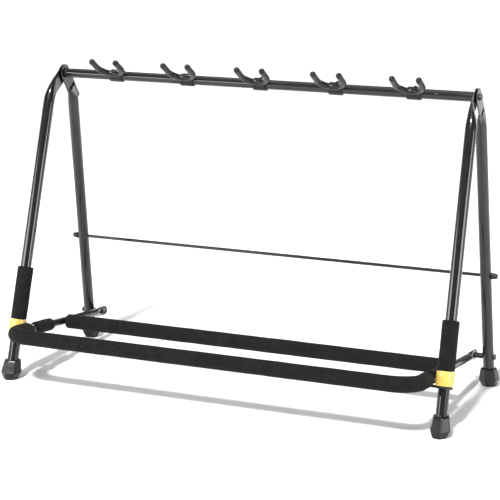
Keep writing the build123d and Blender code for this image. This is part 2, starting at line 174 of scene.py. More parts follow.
def ring(centre, a_axis, b_axis, flat):
    return [centre + a_axis * a + b_axis * b for a, b in flat]


def round_tube(bm, places, radius, side, ends, count=48, wobble=0.0):
    """A round bar along places. Each end has its own rounding, and wobble makes the skin uneven."""
    rings = []
    total = len(places) - 1
    for index, (centre, along) in enumerate(places):
        a = (side - along * along.dot(side)).normalized()
        b = along.cross(a)
        if index in (0, total):
            soft, way = (ends[0], 1) if index == 0 else (ends[1], -1)
            rim = []
            for k in range(7):
                t = pi / 2 * k / 6
                rim.append((soft * (1 - cos(t)), radius - soft * (1 - sin(t))))
            rim = [(0.0, (radius - soft) * f) for f in (0.25, 0.6, 0.9)] + rim
            made = [ring(centre + along * way * d, a, b, section(r, r, 1.0, count)) for d, r in rim]
            rings += made if index == 0 else list(reversed(made))
        else:
            flat = []
            for u, v in section(1.0, 1.0, 1.0, count):
                spot = (centre + a * u * radius + b * v * radius) / WOBBLE_SIZE
                grow = wobble * noise.noise(spot)
                flat.append((u * (radius + grow), v * (radius + grow)))
            rings.append(ring(centre, a, b, flat))
    skin(bm, rings)


def lathe(bm, origin, axis, profile, count=48, hollow=False):
    """Turn (distance along axis, radius) pairs about an axis. If hollow, the last pair joins the first."""
    axis = axis.normalized()
    a = axis.orthogonal().normalized()
    b = axis.cross(a)
    rings = [ring(origin + axis * d, a, b, section(r, r, 1.0, count)) for d, r in profile]
    if hollow:
        rings.append(rings[0])
        skin(bm, rings, caps=(False, False))
        bmesh.ops.remove_doubles(bm, verts=bm.verts, dist=1e-5)
    else:
        skin(bm, rings)


def rounded(low, high, inner, outer, soft, steps=5):
    """Profile of a ring with rounded outer edges."""
    out = [(low, inner), (low, outer - soft)]
    for k in range(1, steps + 1):
        t = pi / 2 * k / steps
        out.append((low + soft * (1 - cos(t)), outer - soft * (1 - sin(t))))
    for k in range(steps + 1):
        t = pi / 2 * k / steps
        out.append((high - soft * (1 - sin(t)), outer - soft * (1 - cos(t))))
    return out + [(high, inner)]


def hexagon(radius, turn, soften=30.0, count=96):
    """A six-sided outline with rounded corners."""
    flat = radius * cos(pi / 6)
    out = []
    for k in range(count):
        t = 2 * pi * k / count
        total = sum(max(0.0, cos(t - turn - pi / 6 - pi / 3 * i)) ** soften for i in range(6))
        r = flat / total ** (1 / soften)
        out.append((r * cos(t), r * sin(t)))
    return out


def recessed_head(bm, origin, axis, radius, height, dome, recess, depth):
    """A domed screw head with a six-sided recess."""
    axis = axis.normalized()
    a = axis.orthogonal().normalized()
    b = axis.cross(a)
    count = 48
    rings = [ring(origin, a, b, section(radius, radius, 1.0, count))]
    for k in range(7):
        t = pi / 2 * k / 6
        r = radius - dome * (1 - cos(t))
        rings.append(ring(origin + axis * (height - dome + dome * sin(t)), a, b, section(r, r, 1.0, count)))
    for r in (mix(radius - dome, recess, 0.5), recess * 1.12):
        rings.append(ring(origin + axis * height, a, b, section(r, r, 1.0, count)))
    mouth = hexagon(recess, 0.0, 40.0, count)
    for down in (0.15, 0.4, depth):
        rings.append(ring(origin + axis * (height - down), a, b, mouth))
    bottom = section(recess * 0.3, recess * 0.3, 1.0, count)
    rings.append(ring(origin + axis * (height - depth - 0.5), a, b, bottom))
    skin(bm, rings)


# ------------------------------------------------------------------ materials
PATTERN_LOW, PATTERN_HIGH = 0.3, 0.7         # the part of a pattern's range that shows


class Nodes:
    """A small helper that wires a material's nodes."""

    def __init__(self, name, **sockets):
        self.material = bpy.data.materials.new(name)
        self.material.use_nodes = True
        self.tree = self.material.node_tree
        self.shader = self.tree.nodes["Principled BSDF"]
        for key, value in sockets.items():
            self.shader.inputs[key.replace("_", " ")].default_value = value
        self.coords = self.tree.nodes.new("ShaderNodeTexCoord").outputs["Object"]
        self.height = None

    def link(self, a, b):
        self.tree.links.new(a, b)

    def noise(self, scale, detail=3.0, roughness=0.5):
        node = self.tree.nodes.new("ShaderNodeTexNoise")
        node.inputs["Scale"].default_value = scale
        node.inputs["Detail"].default_value = detail
        node.inputs["Roughness"].default_value = roughness
        self.link(self.coords, node.inputs["Vector"])
        return node.outputs["Fac"]

    def cells(self, scale):
        node = self.tree.nodes.new("ShaderNodeTexVoronoi")
        node.inputs["Scale"].default_value = scale
        self.link(self.coords, node.inputs["Vector"])
        return node.outputs["Distance"]

    def span(self, source, low, high):
        node = self.tree.nodes.new("ShaderNodeMapRange")
        node.inputs["From Min"].default_value = PATTERN_LOW
        node.inputs["From Max"].default_value = PATTERN_HIGH
        node.inputs["To Min"].default_value = low
        node.inputs["To Max"].default_value = high
        self.link(source, node.inputs["Value"])
        return node.outputs["Result"]

    def colour(self, source, dark, light):
        ramp = self.tree.nodes.new("ShaderNodeValToRGB")
        ramp.color_ramp.elements[0].position = PATTERN_LOW
        ramp.color_ramp.elements[0].color = (*dark, 1)
        ramp.color_ramp.elements[1].position = PATTERN_HIGH
        ramp.color_ramp.elements[1].color = (*light, 1)
        self.link(source, ramp.inputs["Fac"])
        self.link(ramp.outputs["Color"], self.shader.inputs["Base Color"])
        return self

    def rough(self, source, low, high):
        self.link(self.span(source, low, high), self.shader.inputs["Roughness"])
        return self

    def bump(self, source, strength, distance):
        node = self.tree.nodes.new("ShaderNodeBump")
        node.inputs["Strength"].default_value = strength
        node.inputs["Distance"].default_value = distance
        self.link(source, node.inputs["Height"])
        if self.height is not None:
            self.link(self.height, node.inputs["Normal"])
        self.height = node.outputs["Normal"]
        self.link(self.height, self.shader.inputs["Normal"])
        return self


def enamel():
    """Gloss black paint on drawn tube: a hard clear surface with a faint orange peel."""
    m = Nodes("black_enamel", Coat_Weight=1.0, Coat_Roughness=0.07, Specular_IOR_Level=0.15)
    m.colour(m.noise(26.0, 4.0), (0.0035, 0.0035, 0.004), (0.0075, 0.0075, 0.008))
    m.rough(m.noise(45.0, 4.0, 0.6), 0.30, 0.42)
    m.bump(m.noise(110.0, 2.0), 0.06, 0.0002)
    return m.material


def foam():
    """Matt closed-cell foam: fine open grain with slow changes of tone."""
    m = Nodes("black_foam", Sheen_Weight=0.02, Sheen_Roughness=0.5, Specular_IOR_Level=0.2)
    m.colour(m.noise(55.0, 6.0, 0.65), (0.0035, 0.0035, 0.0036), (0.0080, 0.0080, 0.0079))
    m.rough(m.noise(160.0, 3.0), 0.82, 0.95)
    m.bump(m.cells(1150.0), 0.45, 0.0005)
    m.bump(m.noise(480.0, 4.0, 0.7), 0.55, 0.0007)
    m.bump(m.noise(40.0, 2.0), 0.25, 0.0012)
    return m.material


def yellow():
    """Warm yellow moulded plastic."""
    m = Nodes("yellow_plastic", Coat_Weight=0.6, Coat_Roughness=0.08,
              Subsurface_Weight=0.08, Subsurface_Scale=0.002)
    m.colour(m.noise(60.0, 3.0), (0.62, 0.44, 0.09), (0.70, 0.50, 0.11))
    m.rough(m.noise(220.0, 3.0), 0.30, 0.42)
    m.bump(m.noise(900.0, 2.0), 0.06, 0.0003)
    return m.material


def rubber(name, dark, light, low, high, coat=0.08):
    """Moulded rubber: satin, with a fine mould grain."""
    m = Nodes(name, Specular_IOR_Level=0.32, Coat_Weight=coat, Coat_Roughness=0.22)
    m.colour(m.noise(70.0, 5.0, 0.6), dark, light)
    m.rough(m.noise(130.0, 4.0), low, high)
    m.bump(m.noise(1300.0, 3.0, 0.6), 0.18, 0.0003)
    m.bump(m.noise(120.0, 2.0), 0.08, 0.0008)
    return m.material


def plated():
    """Bright plated steel."""
    m = Nodes("bright_plate", Metallic=1.0)
    m.colour(m.noise(300.0, 3.0), (0.62, 0.62, 0.63), (0.82, 0.82, 0.83))
    m.rough(m.noise(500.0, 3.0), 0.16, 0.32)
    m.bump(m.noise(900.0, 2.0), 0.08, 0.0002)
    return m.material


def blackened():
    """Blackened steel hardware."""
    m = Nodes("blackened_steel", Specular_IOR_Level=0.6, Coat_Weight=0.3, Coat_Roughness=0.2)
    m.colour(m.noise(200.0, 4.0), (0.010, 0.010, 0.011), (0.030, 0.030, 0.031))
    m.rough(m.noise(420.0, 3.0), 0.26, 0.42)
    m.bump(m.noise(1100.0, 3.0), 0.12, 0.0002)
    return m.material


ENAMEL = enamel()
FOAM = foam()
YELLOW = yellow()
FOOT_RUBBER = rubber("foot_rubber", (0.005, 0.005, 0.0055), (0.011, 0.011, 0.012), 0.26, 0.40)
YOKE_RUBBER = rubber("yoke_rubber", (0.004, 0.004, 0.0044), (0.008, 0.008, 0.0086), 0.26, 0.38, 0.15)
NYLON = rubber("black_nylon", (0.012, 0.012, 0.013), (0.020, 0.020, 0.021), 0.32, 0.46)
PLATED = plated()
BLACKENED = blackened()


# ------------------------------------------------------------------ legs
X_AXIS = Vector((1, 0, 0))


class Leg:
    """Centre line of one leg, from the foot to the bolt at the end of the top tube."""

    def __init__(self, side, kind):
        self.side = side
        self.front = kind == "front"
        data = FRONT if self.front else REAR
        self.foot_y, self.lean, self.way = data["foot_y"], data["lean"], data["way"]
        self.tilt, self.tip = radians(data["tilt"]), radians(data["tip"])
        run = self.way * (TOP.y - self.foot_y)
        a, b = self.tilt, self.tip
        top = TOP.z - PLATE_RUN * cos(b)
        across = run - PLATE_RUN * sin(b) - tan(a) * top
        self.bend = across / (cos(a) - cos(b) - tan(a) * (sin(b) - sin(a)))
        outer = self.front == (side < 0)
        self.plate_x = side * (OUTER_PLATE_X if outer else INNER_PLATE_X)
        self.tip_axis = Vector((0, self.way * sin(b), cos(b)))
        self.bolt = Vector((self.plate_x, TOP.y, TOP.z))

    def x(self, z):
        return self.side * (FOOT_X - self.lean * z)

    def point(self, z):
        return Vector((self.x(z), self.foot_y + self.way * tan(self.tilt) * z, z))

    def axis(self):
        return (self.point(100) - self.point(0)).normalized()

    def places(self):
        """Places on the round part, up to where the tube starts to flatten."""
        t = tan(self.tilt)
        rise = self.way * (TOP.y - self.foot_y)
        height = (rise - TOP.z * tan(self.tip)) / (t - tan(self.tip))
        corner = self.point(height)
        last = Vector((self.x(TOP.z), TOP.y, TOP.z)) - self.tip_axis * PLATE_RUN
        return route([self.point(LEG_START), corner, last], self.bend, 9.0, 3.0)


def leg_mesh(leg):
    """A tube leg that is crimped flat towards its top and rounded off about the bolt."""
    bm = bmesh.new()
    side = Vector((1, 0, leg.side * leg.lean)).normalized()
    places = leg.places()
    end, end_along = places[-1]
    steps = 20
    for k in range(1, steps + 1):
        places.append((end + end_along * PLATE_RUN * k / steps, end_along))
    left = [0.0]
    for (after, _), (before, _) in zip(reversed(places), list(reversed(places))[1:]):
        left.append(left[-1] + (after - before).length)
    left.reverse()
    first, along = places[0]
    a = (side - along * along.dot(side)).normalized()
    rings = [ring(first, a, along.cross(a), section(LEG_R - LEG_WALL, LEG_R - LEG_WALL, 1.0, 56))]
    for (centre, along), distance in zip(places, left):
        a = (side - along * along.dot(side)).normalized()
        t = smooth((CRIMP_RUN - distance) / (CRIMP_RUN - NECK_RUN))
        half_x = mix(LEG_R, PLATE_HALF, t)
        half_w = mix(LEG_R, PLATE_R - 0.8, t) + 0.8 * smooth((NECK_RUN - distance) / NECK_RUN)
        spot = centre.copy()
        spot.x = mix(centre.x, leg.plate_x, t)
        rings.append(ring(spot, a, along.cross(a), section(half_x, half_w, mix(1.0, 0.42, t), 56)))
    b = end_along.cross(X_AXIS)
    for k in range(1, 15):
        t = pi / 2 * k / 14
        e, w = PLATE_R * sin(t), max(PLATE_R * cos(t), 0.4)
        thick = PLATE_HALF * (1.0 if k < 11 else mix(1.0, 0.55, (k - 10) / 4))
        rings.append(ring(leg.bolt + leg.tip_axis * e, X_AXIS, b, section(thick, w, 0.42, 56)))
    skin(bm, rings)
    return bm


def foot_mesh(leg, turn):
    """A six-sided tapered rubber cap with soft edges, open for the tube."""
    bm = bmesh.new()
    levels = (
        (0.0, 9.0), (0.0, 12.9), (0.35, 13.9), (1.2, 14.7), (6.5, 17.7), (11.7, 20.4),
        (12.4, 20.75), (13.0, 20.9), (13.7, 20.85), (14.6, 20.6), (25.0, 18.8), (34.0, 17.1),
        (36.4, 16.55), (37.4, 15.9), (37.9, 15.0), (38.0, 13.8),
    )
    y_axis = Vector((0, 1, 0))
    rings = []
    for z, radius in levels:
        rings.append(ring(leg.point(z), X_AXIS, y_axis, hexagon(radius, turn, 44.0)))
    for z, radius in ((37.9, LEG_R + 0.7), (37.4, LEG_R + 0.1), (20.0, LEG_R + 0.1)):
        rings.append(ring(leg.point(z), X_AXIS, y_axis, section(radius, radius, 1.0, 96)))
    # the round rings start half a step later than the six-sided ones, so they are turned back by one point
    rings[-3:] = [round_ring[-1:] + round_ring[:-1] for round_ring in rings[-3:]]
    skin(bm, rings, caps=(True, False))
    return bm


LEGS = {(name, kind): Leg(side, kind) for name, side in ENDS.items() for kind in ("front", "rear")}
FOOT_TURNS = {("left", "front"): 20, ("right", "front"): -10, ("left", "rear"): 8, ("right", "rear"): 23}
for (name, kind), leg in LEGS.items():
    body = "front_frame" if kind == "front" else "rear_legs"
    label = f"{kind}_leg_{name}"
    piece(f"{label}_tube", leg_mesh(leg), body, [label], ENAMEL, 50)
    turn = radians(FOOT_TURNS[(name, kind)])
    label = f"{kind}_foot_{name}"
    piece(f"{label}_cap", foot_mesh(leg, turn), body, [label], FOOT_RUBBER)

# ------------------------------------------------------------------ top tube and its fittings
low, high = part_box("top_tube")
tube_ends = low.x / MM, high.x / MM
bm = bmesh.new()
round_tube(bm, route([(tube_ends[0], TOP.y, TOP.z), (tube_ends[1], TOP.y, TOP.z)], step=40), TOP_R,
           Vector((0, 1, 0)), (0.4, 0.4), 56)
piece("top_tube_bar", bm, "front_frame", ["top_tube"], ENAMEL, 50)

bm = bmesh.new()
for end in (-1, 1):
    origin = Vector((end * (tube_ends[1] + 0.05), TOP.y, TOP.z))
    rim = rounded(0.0, PLUG_FLANGE, 8.2, TOP_R + 0.4, 1.1)[1:-1]
    profile = [(-PLUG_DEPTH, PLUG_R), (0.0, PLUG_R)] + rim + [(PLUG_FLANGE, 3.2)]
    lathe(bm, origin, Vector((end, 0, 0)), profile)
piece("top_tube_end_plugs", bm, "front_frame", ["top_tube_plugs"], NYLON, 40)

bm = bmesh.new()
for end in (-1, 1):
    seat = Vector((end * (OUTER_PLATE_X + PLATE_HALF + 0.3), TOP.y, TOP.z))
    recessed_head(bm, seat, Vector((end, 0, 0)), 6.5, 4.4, 1.9, 2.6, 2.0)
    profile = [(-0.2, PIN_R), (PIVOT_SHANK - 0.5, PIN_R), (PIVOT_SHANK, 2.6)]
    lathe(bm, seat, Vector((-end, 0, 0)), profile, 24)
piece("pivot_bolt_pair", bm, "front_frame", ["pivot_bolts"], BLACKENED, 40)

bm = bmesh.new()
for end in (-1, 1):
    origin = Vector((end * (INNER_PLATE_X + PLATE_HALF + 0.3), TOP.y, TOP.z))
    lathe(bm, origin, Vector((end, 0, 0)), rounded(0.0, 0.8, 3.1, 9.0, 0.3), hollow=True)
piece("pivot_washer_pair", bm, "front_frame", ["pivot_washers"], NYLON, 40)


# ------------------------------------------------------------------ sleeves, collars and cradles
def foam_tube(name, places, radius, body, node, side, soft, wobble=0.35):
    """A foam sleeve: soft rounded ends and a skin that isn't quite even."""
    bm = bmesh.new()
    round_tube(bm, places, radius - FOAM_INSET, side, soft, 56, wobble)
    obj = piece(name, bm, body, [node], FOAM)
    return obj


for name, side in ENDS.items():
    leg = LEGS[(name, "front")]
    bottom = leg.point(SLEEVE_LOW) + leg.axis() * FOAM_GAP
    length = (leg.point(SLEEVE_HIGH[side]) - leg.point(SLEEVE_LOW)).length - 2 * FOAM_GAP
    places = route([bottom, bottom + leg.axis() * length], step=4.0)
    label = f"leg_sleeve_{name}"
    foam_tube(f"{label}_foam", places, SLEEVE_R, "front_frame", label, X_AXIS, (1.2, 2.6))

    tall = (leg.point(COLLAR_HIGH) - leg.point(COLLAR_LOW)).length
    bm = bmesh.new()
    profile = rounded(0.0, tall, BAND_R + 0.2, COLLAR_R, 1.2)
    lathe(bm, leg.point(COLLAR_LOW), leg.axis(), profile, 72, hollow=True)
    piece(f"collar_{name}_ring", bm, "front_frame", [f"collar_{name}"], YELLOW, 60)


def base_point(x, distance, up=0.0):
    """A point of the base frame, by its distance from the hinge towards the front."""
    front = Vector((0, -cos(BASE_SLOPE), sin(BASE_SLOPE)))
    over = Vector((0, sin(BASE_SLOPE), cos(BASE_SLOPE)))
    return Vector((x, HINGE.y, HINGE.z)) + front * distance + over * up


def cradle_mesh(leg):
    """A band round the leg with an arm that ends in a hook under the strut."""
    bm = bmesh.new()
    start = leg.point(COLLAR_LOW - 0.3)
    flange = rounded(0.0, FLANGE_TALL, LEG_R + 0.1, BAND_R + 2.5, 0.9)
    lathe(bm, start - leg.axis() * FLANGE_TALL, leg.axis(), flange, 64, hollow=True)
    sleeve = bmesh.new()
    lathe(sleeve, start, leg.axis(), rounded(0.0, 26.6, LEG_R + 0.1, BAND_R - 0.1, 0.3), 64, hollow=True)
    mesh = bpy.data.meshes.new("sleeve")
    sleeve.to_mesh(mesh)
    bm.from_mesh(mesh)
    sleeve.free()
    bpy.data.meshes.remove(mesh)
    front = (base_point(0, 1) - base_point(0, 0)).normalized()
    over = (base_point(0, 0, 1) - base_point(0, 0)).normalized()
    centre = base_point(leg.side * STRUT_X, CRADLE_DISTANCE)
    radius, half = HOOK_R, HOOK_WALL / 2
    rings = []
    spots = [(-radius, 1.4), (-radius, 0.7)]
    spots += [(-radius * cos(t), -radius * sin(t)) for t in [pi * k / 28 for k in range(29)]]
    spots += [(radius, 0.7), (radius, 1.4)]
    for index, (u, v) in enumerate(spots):
        out = Vector((u, 0, min(v, 0.0))).normalized()
        outward = X_AXIS * out.x + over * out.z
        end = index in (0, len(spots) - 1)
        flat = section(half * (0.7 if end else 1.0), CRADLE_WIDTH / 2 * (0.94 if end else 1.0), 0.3, 40)
        rings.append(ring(centre + X_AXIS * u + over * v, outward, front, flat))
    skin(bm, rings)
    rings = []
    for k, u in enumerate((0.0, 1.0, 4.0, 8.0, 12.0, 16.0, 18.5)):
        drop = mix(12.4, 13.0, min(u / 8.0, 1.0))
        grow = 0.75 if k == 0 else 1.0
        spot = centre + X_AXIS * leg.side * u - over * drop
        rings.append(ring(spot, over, front, section(1.9 * grow, CRADLE_WIDTH / 2 * 0.97 * grow, 0.3, 40)))
    skin(bm, rings)
    return bm


for name, side in ENDS.items():
    leg = LEGS[(name, "front")]
    label = f"cradle_{name}"
    piece(f"{label}_hook", cradle_mesh(leg), "front_frame", [label], NYLON, 40)

bm = bmesh.new()
for side in (-1, 1):
    for step in RIVET_STEPS:
        spot = base_point(side * (STRUT_X - HOOK_SIDE), CRADLE_DISTANCE + step, -RIVET_DROP)
        profile = [(-1.5, 0.95), (0.05, 0.95), (0.05, 1.75), (0.3, 1.85)]
        profile += [(0.6, 1.7), (0.85, 1.3), (1.0, 0.7), (1.04, 0.1)]
        lathe(bm, spot, Vector((-side, 0, 0)), profile, 32)
piece("cradle_rivet_heads", bm, "front_frame", ["cradle_rivets"], PLATED, 40)

# ------------------------------------------------------------------ base frame
over = base_point(0, 0, 1) - base_point(0, 0)
corners = [base_point(-STRUT_X, 0), base_point(-STRUT_X, BASE_LENGTH), base_point(STRUT_X, BASE_LENGTH),
           base_point(STRUT_X, 0)]


def base_places():
    """Places along the base tube, close together where its section or its direction changes."""
    places = []
    for index, (centre, along) in enumerate(route(corners, CORNER_R, 1.0, 2.5)):
        distance = min((centre - corners[0]).length, (centre - corners[3]).length)
        by_hinge = distance < FLAT_ZONE
        on_strut = abs(abs(centre.x) - STRUT_X) <= 0.01
        in_corner = distance > BASE_LENGTH - CORNER_R - 2 and abs(centre.x) > STRUT_X - CORNER_R - 2
        if on_strut and not by_hinge and index % STRUT_STRIDE:
            continue
        if by_hinge or in_corner or (centre - places[-1][0]).length > BAR_STEP:
            places.append((centre, along, distance))
    return places


def strut_section(distance):
    """The strut's section: flat by the hinge, then turning round."""
    t = 1 - smooth((distance - FLAT_RUN) / FLAT_BLEND)
    return section(mix(BAR_R, FLAT_HALF, t), mix(BAR_R, FLAT_R, t), mix(1.0, 0.5, t), 48)


def rounded_end(side, sign):
    """Rings that close a strut's flat end about the hinge, from the tip inwards."""
    made = []
    for k in range(12, 0, -1):
        t = pi / 2 * k / 12
        e, w = FLAT_R * sin(t), max(FLAT_R * cos(t), 0.35)
        thick = FLAT_HALF * (1.0 if k < 10 else 0.75)
        spot = base_point(side * STRUT_X, -FLAT_TAIL - e)
        made.append(ring(spot, X_AXIS * sign, over, section(thick, w, 0.5, 48)))
    spot = base_point(side * STRUT_X, -FLAT_TAIL)
    made.append(ring(spot, X_AXIS * sign, over, section(FLAT_HALF, FLAT_R, 0.5, 48)))
    return made


bm = bmesh.new()
rings = rounded_end(-1, 1)
for centre, along, distance in base_places():
    a = over.cross(along).normalized() * -1
    rings.append(ring(centre, a, over, strut_section(distance)))
rings += list(reversed(rounded_end(1, -1)))
skin(bm, rings)
piece("base_tube_bar", bm, "base_frame", ["base_tube"], ENAMEL, 50)

low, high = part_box("crossbar")
bar = middle("crossbar")
bm = bmesh.new()
bar_places = route([(low.x / MM, bar.y, bar.z), (high.x / MM, bar.y, bar.z)], step=30)
round_tube(bm, bar_places, BAR_R, Vector((0, 0, 1)), (0.3, 0.3))
piece("crossbar_bar", bm, "base_frame", ["crossbar"], ENAMEL, 50)

FRONT_SEAM = 246.0
for number, end in ((1, -1), (4, 1)):
    points = [base_point(end * STRUT_X, CORNER_FOAM_END), base_point(end * STRUT_X, BASE_LENGTH),
              base_point(end * (FRONT_SEAM + 0.5), BASE_LENGTH)]
    label = f"front_foam_{number}"
    places = route(points, CORNER_R, 4.0, 2.5)
    foam_tube(f"{label}_sleeve", places, FOAM_R, "base_frame", label, over, (4.0, 0.9))
for number, (start, stop) in ((2, (-FRONT_SEAM, -0.3)), (3, (0.3, FRONT_SEAM))):
    points = [base_point(start, BASE_LENGTH), base_point(stop, BASE_LENGTH)]
    label = f"front_foam_{number}"
    foam_tube(f"{label}_sleeve", route(points, step=4.0), FOAM_R, "base_frame", label, over, (0.9, 0.9))
for number in (1, 2, 3):
    low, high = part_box(f"rear_foam_{number}")
    points = [(low.x / MM + 0.1, bar.y, bar.z), (high.x / MM - 0.1, bar.y, bar.z)]
    soft = {1: (3.5, 0.9), 2: (0.9, 0.9), 3: (0.9, 3.5)}[number]
    label = f"rear_foam_{number}"
    foam_tube(f"{label}_sleeve", route(points, step=4.0), FOAM_R, "base_frame", label, over, soft)
for name, side in ENDS.items():
    points = [base_point(side * STRUT_X, distance) for distance in STRUT_FOAM_SPAN]
    foam_tube(f"strut_foam_{name}_sleeve", route(points, step=3.0), STRUT_FOAM_R, "base_frame",
              f"strut_foam_{name}", over, (3.0, 3.0))

# ------------------------------------------------------------------ hinge hardware and tie rod
leg_x = FOOT_X - REAR["lean"] * HINGE.z
head_x = leg_x + LEG_R + 0.4
nut_x = STRUT_X - FLAT_HALF - 0.3
bolt_end = nut_x - NUT_AND_END
bm = bmesh.new()
for end in (-1, 1):
    seat = Vector((end * head_x, HINGE.y, HINGE.z))
    recessed_head(bm, seat, Vector((end, 0, 0)), 5.6, 3.9, 1.8, 2.2, 1.7)
    lathe(bm, Vector((end * bolt_end, HINGE.y, HINGE.z)), Vector((end, 0, 0)),
          [(0.0, 2.3), (0.6, HINGE_PIN_R), (head_x - bolt_end + 0.1, HINGE_PIN_R)], 24)
piece("hinge_bolt_pair", bm, "rear_legs", ["hinge_bolts"], BLACKENED, 40)

y_axis, z_axis = Vector((0, 1, 0)), Vector((0, 0, 1))
bm = bmesh.new()
for end in (-1, 1):
    rings = []
    origin = Vector((end * nut_x, HINGE.y, HINGE.z))
    for d, r in ((0.0, 5.1), (0.5, 5.7), (4.3, 5.7), (4.9, 5.1)):
        rings.append(ring(origin - X_AXIS * end * d, y_axis, z_axis, hexagon(r, 0.0, 45.0, 48)))
    for d, r in ((5.0, 4.6), (6.6, 4.55), (7.3, 4.2), (7.6, 3.6), (7.6, 3.1)):
        turns = [2 * pi * k / 48 for k in range(48)]
        rings.append([origin - X_AXIS * end * d + Vector((0, r * cos(t), r * sin(t))) for t in turns])
    skin(bm, rings)
piece("hinge_nut_pair", bm, "rear_legs", ["hinge_nuts"], BLACKENED, 40)

bm = bmesh.new()
spacer_start = STRUT_X + FLAT_HALF + 0.3
spacer_end = leg_x - LEG_R - 0.5
for end in (-1, 1):
    lathe(bm, Vector((end * spacer_start, HINGE.y, HINGE.z)), Vector((end, 0, 0)),
          rounded(0.0, spacer_end - spacer_start, 3.05, SPACER_R, 0.5), 48, hollow=True)
piece("hinge_spacer_pair", bm, "rear_legs", ["hinge_spacers"], NYLON, 40)

low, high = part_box("tie_rod")
bm = bmesh.new()
rod_places = route([(low.x / MM, ROD.y, ROD.z), (high.x / MM, ROD.y, ROD.z)], step=60)
round_tube(bm, rod_places, ROD_R, Vector((0, 0, 1)), (0.5, 0.5), 32)
piece("tie_rod_bar", bm, "rear_legs", ["tie_rod"], ENAMEL, 50)

_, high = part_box("tie_rod_caps")
cap_start = FOOT_X - REAR["lean"] * ROD.z + LEG_R + 0.4
cap_length = high.x / MM - cap_start
bm = bmesh.new()
for end in (-1, 1):
    profile = [(0.0, 3.3), (0.0, 6.2), (0.5, 6.75), (2.4, 6.4), (2.6, 6.0), (3.0, 6.15)]
    profile += [(cap_length - 1.6, 4.95), (cap_length - 0.6, 4.4), (cap_length - 0.1, 3.2), (cap_length, 1.6)]
    lathe(bm, Vector((end * cap_start, ROD.y, ROD.z)), Vector((end, 0, 0)), profile, 40)
piece("tie_rod_cap_pair", bm, "rear_legs", ["tie_rod_caps"], NYLON, 40)

# ------------------------------------------------------------------ neck yokes
SEAT, RISE = radians(19.0), radians(31.5)
FORK_R, FORK_BEND, FORK_ARM, SEAT_DISTANCE = 6.0, 26.2, 26.0, 17.4
CLIP_WIDTH, CLIP_BORE, CLIP_R = 28.0, 9.75, 12.6
CLIP_OPENING = (-52, 2)                      # the clip's mouth, degrees above the rear
SCREW_LIFT = 68                              # direction of the clip's screw, degrees above the rear
MELT_VOXEL = 0.8


def yoke_mesh():
    """One fork and its clip, melted into a single moulding."""
    bm = bmesh.new()
    bottom = Vector((0, TOP.y - SEAT_DISTANCE * cos(SEAT), TOP.z + SEAT_DISTANCE * sin(SEAT)))
    out = Vector((0, -cos(RISE), sin(RISE)))
    reach = FORK_BEND + FORK_ARM
    spots = [(-FORK_BEND, mix(reach, FORK_BEND, k / 8)) for k in range(8)]
    turns = [pi * (k / 32 - 0.5) for k in range(33)]
    spots += [(FORK_BEND * sin(t), FORK_BEND * (1 - cos(t))) for t in turns]
    spots += [(FORK_BEND, mix(FORK_BEND, reach, (k + 1) / 8)) for k in range(8)]
    world = [bottom + X_AXIS * u + out * v for u, v in spots]
    rings = []
    lift = X_AXIS.cross(out)
    for index, spot in enumerate(world):
        before, after = world[max(index - 1, 0)], world[min(index + 1, len(world) - 1)]
        along = (after - before).normalized()
        a = lift.cross(along).normalized()
        if index == 0:
            for k in range(1, 8):
                t = pi / 2 * (1 - k / 8)
                r = FORK_R * cos(t)
                rings.append(ring(spot - along * FORK_R * sin(t), a, lift, section(r, r, 1.0, 32)))
        rings.append(ring(spot, a, lift, section(FORK_R, FORK_R, 1.0, 32)))
        if index == len(world) - 1:
            for k in range(7, 0, -1):
                t = pi / 2 * (1 - k / 8)
                r = FORK_R * cos(t)
                rings.append(ring(spot + along * FORK_R * sin(t), a, lift, section(r, r, 1.0, 32)))
    skin(bm, rings)
    rings = []
    opening = [radians(angle) for angle in CLIP_OPENING]
    arc = [mix(opening[1], 2 * pi + opening[0], k / 40) for k in range(41)]
    half = CLIP_WIDTH / 2
    for t in arc:
        y, z = cos(t), sin(t)
        edge = t in (arc[0], arc[-1])
        flat = section((CLIP_R - CLIP_BORE) / 2 * (0.8 if edge else 1.0), half, 0.28, 40)
        spoke = Vector((0, y, z))
        spot = Vector((0, TOP.y, TOP.z)) + spoke * (CLIP_R + CLIP_BORE) / 2
        rings.append(ring(spot, spoke, X_AXIS, flat))
    skin(bm, rings)
    return bm


